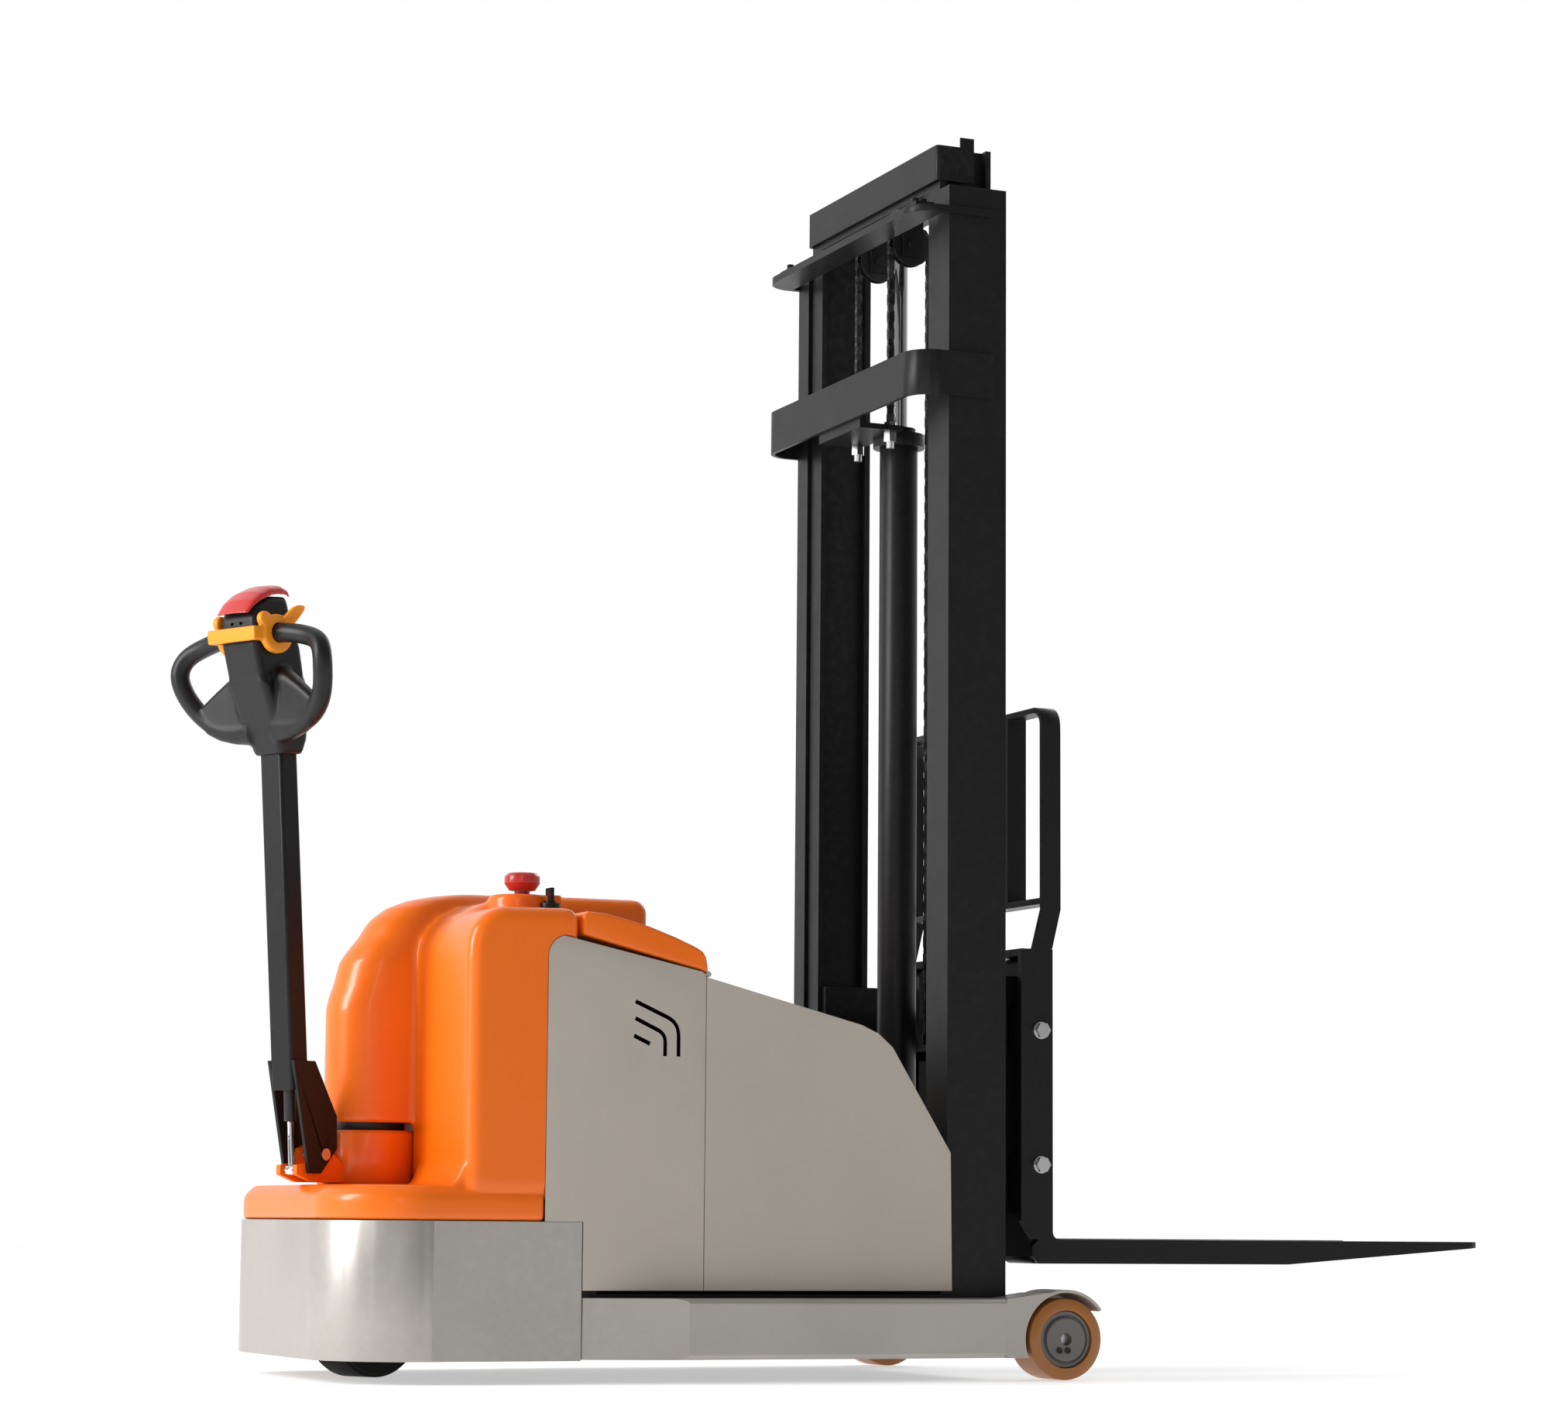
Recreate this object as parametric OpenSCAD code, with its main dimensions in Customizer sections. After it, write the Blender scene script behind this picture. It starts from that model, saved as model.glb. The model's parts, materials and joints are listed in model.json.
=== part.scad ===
// Walkie stacker: pedestrian pallet stacker with a two-stage mast, a steered drive wheel under
// a tiller, and two straddle legs with load wheels. Millimetres, +X along the forks, +Z up.
// Lengths along X are measured from the rear face of the outer mast uprights.

/* [Place] */
// Distance of the mast's rear face in front of the part's centre
mast_x = 90.5; // [60:0.1:95]

/* [Body] */
// Half the width over the side panels
body_half = 350; // [345:1:352]
// Thickness of panels, skirt and moulded covers
sheet_t = 5; // [4:0.5:6]
// Rearmost face of the skirt
skirt_rear = -1090; // [-1095:1:-1085]
// Corner radius of the skirt
skirt_r = 160; // [150:1:165]
// Bottom edge of the skirt
skirt_bottom = 36; // [30:1:40]
// Top edge of the skirt
skirt_top = 262; // [258:1:264]
// Top of the moulded ledge above the skirt
ledge_top = 320; // [318:1:321]
// Rear face of the hood's shoulders
hood_rear = -866; // [-870:1:-862]
// Front face of the hood
hood_front = -683; // [-686:1:-681]
// Top of the hood's shoulders
shoulder_top = 779; // [776:1:784]
// Axis of the hood's round column
column_x = -929; // [-931:1:-929]
// Outer radius of the hood's column
column_r = 76; // [76:0.5:78]
// Underside of the column
column_bottom = 424; // [422:1:430]
// Top of the column
column_top = 818; // [810:1:824]
// Bottom edge of the side panels
panel_bottom = 150; // [148:1:155]

/* [Drive] */
// Steering axis
steer_x = -933; // [-935:1:-931]
// Drive wheel diameter
drive_d = 230; // [226:1:230]
// Drive wheel width
drive_w = 75; // [70:1:78]
// Radius of the turret drum
drum_r = 85; // [83:0.5:86]
// Angle by which the tiller is turned at rest
tiller_turn = 27; // [20:1:30]

/* [Tiller] */
// Distance of the tiller pivot behind the steering axis
pivot_back = 131; // [130:1:133]
// Height of the tiller pivot
pivot_z = 370; // [368:1:372]
// Lean of the tiller at rest
lean = 4.6; // [4:0.1:5]
// Offset of the arm behind the pivot
arm_back = 44; // [43:0.5:45]
// Arm tube width
arm_w = 50; // [48:1:52]
// Arm tube depth
arm_d = 40; // [38:1:42]
// Distance from the pivot to the neck of the head
neck_s = 670; // [668:1:672]
// Half the width over the handle loops
loop_half = 188; // [180:1:190]
// Handle loop tube diameter
loop_d = 32; // [30:1:34]

/* [Mast] */
// Half the width over the outer uprights
outer_half = 328.5; // [328:0.5:329]
// Outer upright depth
outer_depth = 112.5; // [112:0.5:113]
// Top of the outer uprights
outer_top = 2090; // [2080:1:2095]
// Top of the inner uprights, with the inner mast raised by rest_lift
inner_top = 2174; // [2170:1:2178]
// Lift of the inner mast at rest above its lowest place
rest_lift = 75; // [70:1:75]
// Lift cylinder diameter
cylinder_d = 70; // [68:1:72]
// Lift rod diameter
rod_d = 35; // [32:1:36]
// Height of the pulley axis at rest
pulley_z = 2040; // [2036:1:2044]
// Half the distance between the two chains
chain_y = 70; // [66:1:72]

/* [Forks] */
// Fork tips
fork_tip = 1111; // [1100:1:1120]
// Top of the fork blades at rest
fork_top = 238; // [236:1:240]
// Fork width
fork_w = 110; // [105:1:112]
// Half the width over the forks
fork_half = 285; // [284:1:286]
// Top of the fork shanks at rest
shank_top = 744; // [740:1:748]
// Top of the load backrest at rest
backrest_top = 1176; // [1150:1:1200]

/* [Legs] */
// Half the width over the legs
leg_half = 400; // [398:1:402]
// Leg tube width
leg_w = 70; // [68:1:72]
// Load wheel diameter
load_d = 138; // [134:1:140]
// Load wheel axle place
load_x = 194; // [192:1:196]

/* [Hidden] */
$fn = 64;

orange = [0.95, 0.42, 0.06];
taupe = [0.58, 0.55, 0.51];
silver = [0.70, 0.70, 0.71];
black = [0.07, 0.07, 0.08];
zinc = [0.75, 0.76, 0.78];
tan_tyre = [0.55, 0.33, 0.14];
red = [0.78, 0.08, 0.06];
yellow = [0.98, 0.68, 0.10];

fit = 0.05;                      // radial clearance of a running fit
leg_bottom = 38;
leg_top = 138;
leg_start = -672;                // where the leg leaves the body's side
leg_straight = -503;             // where the leg becomes parallel to the centre line
leg_end = 79;
upright_clear_x = 118;           // first place in front of the uprights where the leg may widen inwards
door_split = -458;               // seam between the rear and the front side panels
vent_w = 6.5;
stop_x = -735;                   // emergency stop on the hood
stop_y = -200;
key_x = -703;                    // key switch beside it
key_y = -249;
lift_x = 58;                     // lift cylinder axis
pulley_x = 46;
pulley_r = 32;                   // root of the chain groove
chain_r = 38.5;                  // pitch circle of the chain on its pulley
chain_t = 12;
inner_out = 278;                 // outer face of the inner uprights
inner_in = 232;                  // inner face of the inner uprights
inner_x0 = 6;
inner_x1 = 107;
inner_bottom = 62 + rest_lift;
roller_x = (inner_x0 + inner_x1) / 2;
roller_d = 80.4;                 // rollers in the inner uprights' grooves
big_roller_d = 87.9;             // rollers in the outer uprights' grooves
mast_roller_z = 1988;
inner_roller_z = inner_bottom + 50;
carriage_rollers_z = [330, 650];
wing_s = 868;                    // height of the throttle shaft above the pivot
wing_x = -46;                    // distance of the throttle shaft in front of the arm
button_x = 9;                    // floor of the button wells in front of the arm

// A box between two opposite corners
module box(lo, hi) translate(lo) cube(hi - lo);

// The children and their mirror image on the other side
module both() {
    children();
    mirror([0, 1, 0]) children();
}

// Measures lengths along X from the mast's rear face
module at_mast() translate([mast_x, 0, 0]) children();

// Turns an outline drawn in X and Z into a plate between two places along Y
module plate(y0, y1) translate([0, y1, 0]) rotate([90, 0, 0]) linear_extrude(y1 - y0) children();

// A cylinder along Y between two places
module y_pin(x, z, d, y0, y1) translate([x, y0, z]) rotate([-90, 0, 0]) cylinder(d = d, h = y1 - y0);

// A rectangle with round corners between two corners
module round_rect(lo, hi, r) {
    translate(lo + [r, 0]) square(hi - lo - [2 * r, 0]);
    translate(lo + [0, r]) square(hi - lo - [0, 2 * r]);
    for (x = [lo.x + r, hi.x - r], y = [lo.y + r, hi.y - r]) translate([x, y]) circle(r);
}

// Frame of the turret: -X points along the tiller, -Y to the tiller's right
module turret_frame() translate([mast_x + steer_x, 0, 0]) rotate([0, 0, tiller_turn]) children();

// Frame of the tiller: origin on the pivot, +Z along the arm, -X to the operator
module tiller_frame() turret_frame() translate([-pivot_back, 0, pivot_z])
    rotate([0, -lean, 0]) children();

// ---- Chassis -------------------------------------------------------------------------

// Plan outline of the body's rear part, from the rear to a place along X
module rear_plan(front, half, rear, r) {
    translate([rear + r, -half]) square([front - rear - r, 2 * half]);
    translate([rear, -half + r]) square([r + 1, 2 * (half - r)]);
    for (s = [-1, 1]) translate([rear + r, s * (half - r)]) circle(r, $fn = 96);
}

module chassis_frame() color(black) at_mast() {
    // deck over the drive wheel, with the ring that holds the steering bearing
    difference() {
        union() {
            translate([0, 0, skirt_top - 12]) linear_extrude(10)
                rear_plan(-640, body_half - sheet_t - 1, skirt_rear + sheet_t + 1, skirt_r - sheet_t);
            translate([steer_x, 0, skirt_top - 2]) cylinder(r = 108, h = 50);
        }
        translate([steer_x, 0, 200]) cylinder(r = 88, h = 150);
    }
    // side members, floor and bulkheads
    both() box([-650, 296, leg_bottom], [-12, 329, panel_bottom - 12]);
    box([-640, -329, panel_bottom - 12], [-12, 329, panel_bottom - 6]);
    box([-652, -329, leg_bottom], [-640, 329, skirt_top - 2]);
    box([-12, -329, leg_bottom], [0, 329, 380]);
    // foot under the mast, with the pedestal for the lift cylinder
    box([-1, -outer_half, 40], [outer_depth, outer_half, 60]);
    translate([lift_x, 0, 60]) cylinder(d = cylinder_d + 4, h = 130);
}

module rear_skirt() color(silver) at_mast() difference() {
    translate([0, 0, skirt_bottom]) linear_extrude(skirt_top - skirt_bottom) difference() {
        rear_plan(-674, body_half, skirt_rear, skirt_r);
        rear_plan(-673, body_half - sheet_t, skirt_rear + sheet_t, skirt_r - sheet_t);
    }
}

module base_cover() color(orange) at_mast() difference() {
    union() {
        translate([0, 0, skirt_top]) linear_extrude(40)
            rear_plan(-740, body_half - 4, skirt_rear + 4, skirt_r - 4);
        for (i = [0 : 2]) translate([0, 0, skirt_top + 40 + 6 * i]) linear_extrude(6)
            rear_plan(-740, body_half - 5 - 3 * i, skirt_rear + 5 + 3 * i, skirt_r - 5 - 3 * i);
    }
    translate([0, 0, skirt_top - 1]) linear_extrude(ledge_top - skirt_top - 4)
        rear_plan(-739, body_half - 16, skirt_rear + 16, skirt_r - 16);
    translate([steer_x, 0, skirt_top - 1]) cylinder(r = 90, h = 100);
}

// Outer or inner body of the hood, grown by g
module hood_body(g) {
    translate([column_x, 0, column_bottom]) cylinder(r = column_r + g, h = 250);
    translate([column_x, 0, column_bottom + 250]) cylinder(r1 = column_r + g, r2 = 52 + g, h = 96);
    hull() for (p = [[steer_x + 30, 700], [hood_front - 60, column_top - 20]])
        translate([p.x, 0, p[1]]) sphere(r = 42 + g, $fn = 32);
    box([column_x, -column_r - g, column_bottom], [hood_rear + 20, column_r + g, 700]);
    translate([0, 0, ledge_top]) linear_extrude(shoulder_top - ledge_top - 40 + g)
        rear_plan(hood_front + g, body_half + g, hood_rear - g, 30);
    translate([0, 0, shoulder_top - 41]) linear_extrude(41 + g)
        rear_plan(hood_front + g, body_half - 20 + g, hood_rear + 20 - g, 30);
}

module hood() color(orange) at_mast() difference() {
    intersection() {
        hood_body(0);
        box([-1100, -400, ledge_top], [hood_front, 400, 900]);
    }
    intersection() {
        hood_body(-sheet_t);
        box([-1100, -400, ledge_top - 1], [hood_front + 1, 400, 900]);
    }
    translate([0, 0, ledge_top - 1]) linear_extrude(2)
        rear_plan(hood_front + 1, body_half - sheet_t, hood_rear + sheet_t, 30);
    translate([steer_x, 0, column_bottom - 1]) cylinder(r = 70, h = 20);
    translate([steer_x, 0, ledge_top - 1]) cylinder(r = drum_r + 4, h = column_bottom - ledge_top + 1);
    box([hood_front - 8, -body_half + 20, ledge_top - 1], [hood_front + 1, body_half - 20, 700]);
    both() plate(body_half - sheet_t - 1, body_half + 1) door_shape(1);
}

module side_housing() color(orange) at_mast() difference() {
    plate(70, 330) round_rect([hood_front + 0.5, 640], [-395, 832], 28);
    plate(76, 324) round_rect([hood_front + 6, 634], [-401, 826], 22);
    box([hood_front, 60, 600], [-380, 340, 690]);
}

// Side outline of the lid over the battery
lid_side = [[-678, 733], [-655, 773], [-464, 716], [-458, 676]];

module battery_lid() color(orange) at_mast() {
    plate(-body_half + 6, 62) difference() {
        polygon(lid_side);
        polygon([[-672, 726], [-650, 762], [-470, 709], [-470, 660]]);
    }
    for (y = [-body_half + 6, 57]) plate(y, y + 5) polygon(lid_side);
    // hinge knuckle
    difference() {
        union() {
            y_pin(-452, 700, 16, -body_half + 20, 50);
            box([-466, -body_half + 20, 694], [-452, 50, 706]);
        }
        y_pin(-452, 700, 8, -body_half, 70);
    }
}

module lid_hinge_pin() color(zinc) at_mast() {
    y_pin(-452, 700, 8 - 2 * fit, -body_half + 10, 62);
    for (y = [-body_half + 10, 52]) box([-458, y, 672], [-446, y + 8, 700]);
}

// Side outline of the rear door, grown by g at its rear edge and top
module door_shape(g) {
    polygon([[-740 - g, skirt_top], [-673, skirt_top], [-673, panel_bottom], [door_split - 1, panel_bottom],
             [door_split - 1, 669 + g], [-696, 731 + g], [-705, 697], [-740 - g, 697]]);
    translate([-705, 697]) circle(35 + g);
}

// Side outline of the rear door with its vents
module door_outline() difference() {
    door_shape(0);
    // three vents, the upper two bent down at their front ends
    vent([[-586, 626], [-550, 610], [-520, 594], [-509, 578], [-508, 535]]);
    vent([[-586, 598], [-547, 580], [-534, 568], [-532, 535]]);
    vent([[-588, 569], [-559, 556]]);
}

// A slot with round ends along a line of points
module vent(path) for (i = [1 : len(path) - 1]) hull() {
    translate(path[i - 1]) circle(d = vent_w, $fn = 16);
    translate(path[i]) circle(d = vent_w, $fn = 16);
}

// Side outline of the front cowl
function cowl_line() = [[door_split, 670], [-172, 598], [-140, 584], [-113, 561], [-3, 384], [0, panel_bottom]];

module door(s) color(taupe) at_mast() mirror([0, s < 0 ? 1 : 0, 0])
    plate(body_half - sheet_t, body_half) door_outline();

module left_door() door(1);
module right_door() door(-1);

module front_cowl() color(taupe) at_mast() {
    both() plate(body_half - sheet_t, body_half)
        polygon(concat([[door_split, panel_bottom]], cowl_line()));
    difference() {
        plate(-body_half + sheet_t, body_half - sheet_t)
            polygon(concat([[door_split, 650]], cowl_line(), [[-6, panel_bottom], [-8, 382], [-117, 557]], 
                           [[-143, 579], [-174, 592]]));
        box([-20, -340, 0], [10, 340, 381]);
    }
}

module battery() color([0.15, 0.15, 0.17]) at_mast() {
    box([-630, -270, panel_bottom + 1], [-150, 270, 540]);
    for (y = [-200, 200]) translate([-560, y, 540]) cylinder(d = 24, h = 26);
    box([-500, -250, 540], [-200, 250, 552]);
}

module pump_unit() color([0.25, 0.25, 0.27]) at_mast() {
    translate([-700, 180, ledge_top]) cylinder(d = 110, h = 180);
    box([-760, 120, 500], [-655, 240, 560]);
    translate([-700, 180, 560]) cylinder(d = 80, h = 90);
}

module controller() color(zinc) at_mast() {
    box([-760, -260, 420], [-700, -100, 620]);
    for (i = [0 : 7]) box([-700, -255 + 20 * i, 425], [-690, -249 + 20 * i, 615]);
}

// ---- Legs and load wheels ------------------------------------------------------------

module leg(s) color(silver) at_mast() mirror([0, s < 0 ? 1 : 0, 0]) {
    // box tube that leaves the body at an angle
    difference() {
        intersection() {
            translate([0, 0, leg_bottom]) linear_extrude(leg_top - leg_bottom)
                polygon([[leg_start, body_half - 20], [leg_start, body_half], [leg_straight, leg_half],
                         [leg_end, leg_half], [leg_end, leg_half - leg_w],
                         [leg_straight - 20, leg_half - leg_w]]);
            translate([leg_start - 1, 0, 0]) rotate([90, 0, 90]) linear_extrude(leg_end - leg_start + 2)
                round_rect([leg_half - leg_w - 1, leg_bottom], [leg_half, leg_top], 9);
        }
        translate([leg_straight, 0, 0]) rotate([90, 0, 90]) linear_extrude(leg_end - leg_straight - 20)
            round_rect([leg_half - leg_w + 6, leg_bottom + 6], [leg_half - 6, leg_top - 6], 4);
    }
}

module left_leg() leg(1);
module right_leg() leg(-1);

// Wheel arch at the end of each leg, and the inner cheek that carries the axle
module fenders() color(silver) at_mast() both() {
    plate(leg_half - leg_w, leg_half) intersection() {
        arch_outline();
        translate([0, -50]) square([upright_clear_x, 400]);
    }
    plate(leg_half - 88, leg_half) intersection() {
        arch_outline();
        translate([upright_clear_x, -50]) square([400, 400]);
    }
    plate(leg_half - 100, leg_half - 88) difference() {
        intersection() {
            translate([load_x, load_d / 2]) circle(83.5, $fn = 96);
            translate([upright_clear_x, leg_bottom]) square([200, 200]);
        }
        translate([load_x, load_d / 2]) circle(d = 20);
    }
}

// Side outline of the arch: from the leg's end over the wheel to the front tip
module arch_outline() difference() {
    intersection() {
        union() {
            polygon([[leg_end, leg_bottom], [leg_end, leg_top - 1], [120, 143], [150, 147],
                     [load_x, 148], [load_x, leg_bottom]]);
            translate([load_x, load_d / 2]) circle(84, $fn = 96);
        }
        polygon([[leg_end, leg_bottom], [leg_end, 200], [300, 200], [300, 148], [load_x, 69],
                 [load_x, leg_bottom]]);
    }
    translate([load_x, load_d / 2]) circle(79, $fn = 96);
}

module load_axles() color(zinc) at_mast() both() {
    y_pin(load_x, load_d / 2, 20, leg_half - 100, leg_half - 88);
    y_pin(load_x, load_d / 2, 34, leg_half - 88, leg_half - 86.5);
    y_pin(load_x, load_d / 2, 20 - 2 * fit, leg_half - 86.5, leg_half - 16);
}

module load_tyre(s) color(tan_tyre) at_mast() mirror([0, s < 0 ? 1 : 0, 0])
    translate([load_x, leg_half - 86, load_d / 2]) rotate([-90, 0, 0]) difference() {
        union() {
            cylinder(d = load_d - 8, h = 84);
            translate([0, 0, 4]) cylinder(d = load_d, h = 76);
        }
        translate([0, 0, -1]) cylinder(d = 98, h = 90);
    }

module left_tyre() load_tyre(1);
module right_tyre() load_tyre(-1);

module load_hub(s) color([0.35, 0.35, 0.37]) at_mast() mirror([0, s < 0 ? 1 : 0, 0])
    translate([load_x, leg_half - 86, load_d / 2]) rotate([-90, 0, 0]) difference() {
        union() {
            cylinder(d = 98, h = 78);
            translate([0, 0, 78]) cylinder(d = 75, h = 6);
        }
        translate([0, 0, -1]) cylinder(d = 20, h = 73);
        for (a = [0, 180]) rotate(a) translate([24, 0, 80]) cylinder(d = 6, h = 9);
    }

module left_hub() load_hub(1);
module right_hub() load_hub(-1);

// ---- Controls on the hood ------------------------------------------------------------

module switch_bases() color(black) at_mast() {
    translate([stop_x, stop_y, shoulder_top]) difference() {
        union() {
            cylinder(d = 74, h = 20);
            translate([0, 0, 20]) cylinder(d = 46, h = 8);
        }
        translate([0, 0, 5]) cylinder(d = 26 + 2 * fit, h = 60);
    }
    translate([key_x, key_y, shoulder_top]) difference() {
        cylinder(d = 34, h = 12);
        translate([0, 0, 3]) cylinder(d = 20 + 2 * fit, h = 20);
    }
}

module stop_button() color(red) at_mast() translate([stop_x, stop_y, 0]) {
    translate([0, 0, shoulder_top + 10]) cylinder(d = 26, h = 30);
    translate([0, 0, shoulder_top + 36]) cylinder(d1 = 44, d2 = 60, h = 12);
    translate([0, 0, shoulder_top + 48]) cylinder(d = 60, h = 11);
    translate([0, 0, shoulder_top + 59]) cylinder(d1 = 60, d2 = 48, h = 6);
}

module key() color(black) at_mast() translate([key_x, key_y, shoulder_top]) {
    translate([0, 0, 4]) cylinder(d = 20, h = 12);
    box([-3, -13, 16], [3, 13, 38]);
}

// ---- Mast ----------------------------------------------------------------------------

// Outer upright: a channel open to the centre line
module outer_upright(s) color(black) at_mast() mirror([0, s < 0 ? 1 : 0, 0]) {
    difference() {
        box([0, outer_half - 46, 60], [outer_depth, outer_half, outer_top]);
        box([12, outer_half - 47, 59], [outer_depth - 12, outer_half - 10, outer_top + 1]);
    }
    y_pin(roller_x, mast_roller_z, 30, 276, outer_half - 5);
}

module left_outer_upright() outer_upright(1);
module right_outer_upright() outer_upright(-1);

// Plan of a strip that wraps round the back of both uprights, t thick
module wrap_plan(t, back, half, front, r) difference() {
    rear_plan(front, half, back, r);
    rear_plan(front + 1, half - t, back + t, r - t);
}

module mast_ties() color(black) at_mast() {
    // upper plate, open round the inner mast
    difference() {
        translate([0, 0, 2037]) linear_extrude(13) rear_plan(85, outer_half + 7.5, -70, 50);
        box([-14, 2 - outer_half, 2030], [90, outer_half - 2, 2060]);
        both() box([0, outer_half - 48, 2030], [90, outer_half, 2060]);
    }
    both() {
        // guide adjusters beside each inner upright
        box([-52, 250, 2050], [-16, 300, 2062]);
        for (x = [-42, -26]) translate([x, 275, 2062]) cylinder(d = 13, h = 10);
    }
    // lower band with the bracket that holds the chain anchors
    translate([0, 0, 1708]) linear_extrude(80) wrap_plan(7.5, -70, outer_half + 7.5, 86, 50);
    difference() {
        union() {
            box([-62.5, -90, 1690], [24, 90, 1700]);
            box([-62.5, -90, 1690], [-54, 90, 1720]);
            translate([lift_x, 0, 1676]) cylinder(d = 95, h = 24);
        }
        translate([lift_x, 0, 1600]) cylinder(d = cylinder_d, h = 200);
        for (s = [-1, 1]) translate([pulley_x - chain_r, s * chain_y, 1600]) cylinder(d = 14, h = 200);
    }
}

module lift_cylinder() color(black) at_mast() translate([lift_x, 0, 0]) {
    difference() {
        translate([0, 0, 190]) cylinder(d = cylinder_d, h = 1510);
        translate([0, 0, 196]) cylinder(d = 60, h = 1478);
        translate([0, 0, 1600]) cylinder(d = rod_d + 2 * fit, h = 200);
    }
    translate([0, 0, 1700]) difference() {
        cylinder(d = 62, h = 12);
        translate([0, 0, -1]) cylinder(d = rod_d + 2 * fit, h = 20);
    }
}

module chain_anchors() color(zinc) at_mast()
    for (s = [-1, 1]) translate([pulley_x - chain_r, s * chain_y, 0]) {
        translate([0, 0, 1660]) cylinder(d = 14, h = 44);
        for (z = [1672, 1700]) translate([0, 0, z]) cylinder(d = 24, h = z > 1690 ? 8 : 18, $fn = 6);
    }

// Inner upright: an I section whose grooves guide the rollers
module inner_upright(s) color(black) at_mast() mirror([0, s < 0 ? 1 : 0, 0]) {
    for (x = [inner_x0, inner_x1 - 10])
        box([x, inner_in, inner_bottom], [x + 10, inner_out, inner_top]);
    box([inner_x0 + 5, 250, inner_bottom], [inner_x1 - 5, 260, inner_top]);
    y_pin(outer_depth / 2, inner_roller_z, 30, 255, 316);
}

module left_inner_upright() inner_upright(1);
module right_inner_upright() inner_upright(-1);

module inner_crossbars() color(black) at_mast() {
    // bottom, behind the cylinder
    box([inner_x0 + 2, -inner_in, inner_bottom + 3], [inner_x0 + 12, inner_in, inner_bottom + 57]);
    // top, wrapped round the uprights
    translate([0, 0, 2110]) linear_extrude(64) wrap_plan(3.5, -2, 281.5, 45, 6);
    box([1.5, -inner_in, 2110], [inner_x0, inner_in, inner_top]);
    both() box([45, inner_out, 2110], [72, 281.5, 2192]);
    // plate that carries the pulleys, over the rod's end
    box([inner_x0, -inner_in, 2098], [inner_x1, inner_in, 2110]);
    both() for (y = [56, 80]) box([26, y, 2018], [66, y + 5, 2098]);
    both() y_pin(pulley_x, pulley_z, 20, 50, 90);
}

module lift_rod() color(zinc) at_mast() translate([lift_x, 0, 0]) {
    translate([0, 0, 275]) cylinder(d = rod_d, h = 2098 - 275);
    translate([0, 0, 275]) cylinder(d = 60 - 2 * fit, h = 14);
}

module chain_pulleys() color([0.3, 0.3, 0.32]) at_mast() both()
    translate([pulley_x, chain_y - 8.5, pulley_z]) rotate([-90, 0, 0]) difference() {
        union() {
            cylinder(r = pulley_r, h = 17);
            for (z = [0, 15]) translate([0, 0, z]) cylinder(r = 38, h = 2);
        }
        translate([0, 0, -1]) cylinder(d = 20 + 2 * fit, h = 20);
    }

// Half turn of chain over each pulley, and the straight strand behind it
module rear_chains() color([0.2, 0.2, 0.21]) at_mast() both() {
    translate([pulley_x - chain_r - chain_t / 2, chain_y - 6, 1708]) cube([chain_t, 12, pulley_z - 1708]);
}

module front_chains() color([0.2, 0.2, 0.21]) at_mast() both() {
    translate([pulley_x + chain_r - chain_t / 2, chain_y - 6, 600]) cube([chain_t, 12, pulley_z - 600]);
    translate([0, chain_y - 6, 0]) intersection() {
        y_pin(pulley_x, pulley_z, 2 * (chain_r + chain_t / 2), 0, 12);
        difference() {
            box([-20, 0, pulley_z], [120, 12, pulley_z + 60]);
            y_pin(pulley_x, pulley_z, 2 * (chain_r - chain_t / 2), -1, 13);
        }
    }
}

// Rollers at one height on both sides, each with a bore for its pin
module roller_pair(d, x, z, y0, y1, pin) both() difference() {
    y_pin(x, z, d, y0, y1);
    y_pin(x, z, pin + 2 * fit, y0 - 1, y1 + 1);
}

module mast_rollers() color(zinc) at_mast()
    roller_pair(roller_d, roller_x, mast_roller_z, 261, 277, 30);

module inner_rollers() color(zinc) at_mast()
    roller_pair(big_roller_d, outer_depth / 2, inner_roller_z, 284, 316, 30);

module lower_carriage_rollers() color(zinc) at_mast()
    roller_pair(roller_d, roller_x, carriage_rollers_z[0], 233, 249, 30);

module upper_carriage_rollers() color(zinc) at_mast()
    roller_pair(roller_d, roller_x, carriage_rollers_z[1], 233, 249, 30);

// ---- Carriage and forks --------------------------------------------------------------

module carriage_frame() color(black) at_mast() {
    both() {
        // plates that carry the rollers inside the inner uprights
        box([14, 215, 282], [187, 231, 698]);
        for (z = carriage_rollers_z) y_pin(roller_x, z, 30, 230, 248);
        // side plates outside the fork shanks
        plate(fork_half - 13, fork_half) difference() {
            polygon([[165, 270], [187, fork_top], [227, fork_top], [227, shank_top - 12], [165, shank_top - 12]]);
            for (p = bolt_places) translate(p) circle(d = 16.2);
        }
        box([72, chain_y - 12, 580], [112, chain_y + 12, 600]);
    }
    for (z = [300, 560]) box([165, 13 - fork_half, z], [187, fork_half - 13, z + 80]);
    box([110, -216, 575], [166, 216, 600]);
    box([165, -fork_half, shank_top - 12], [227, fork_half, shank_top]);
}

bolt_places = [[203, 601], [203, 367]];

module fork_bolts() color(zinc) at_mast() both() for (p = bolt_places) {
    y_pin(p.x, p[1], 16, fork_half - 33, fork_half);
    y_pin(p.x, p[1], 30, fork_half, fork_half + 3);
    translate([p.x, fork_half + 3, p[1]]) rotate([-90, 0, 0]) cylinder(d = 27.7, h = 10, $fn = 6);
}

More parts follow.
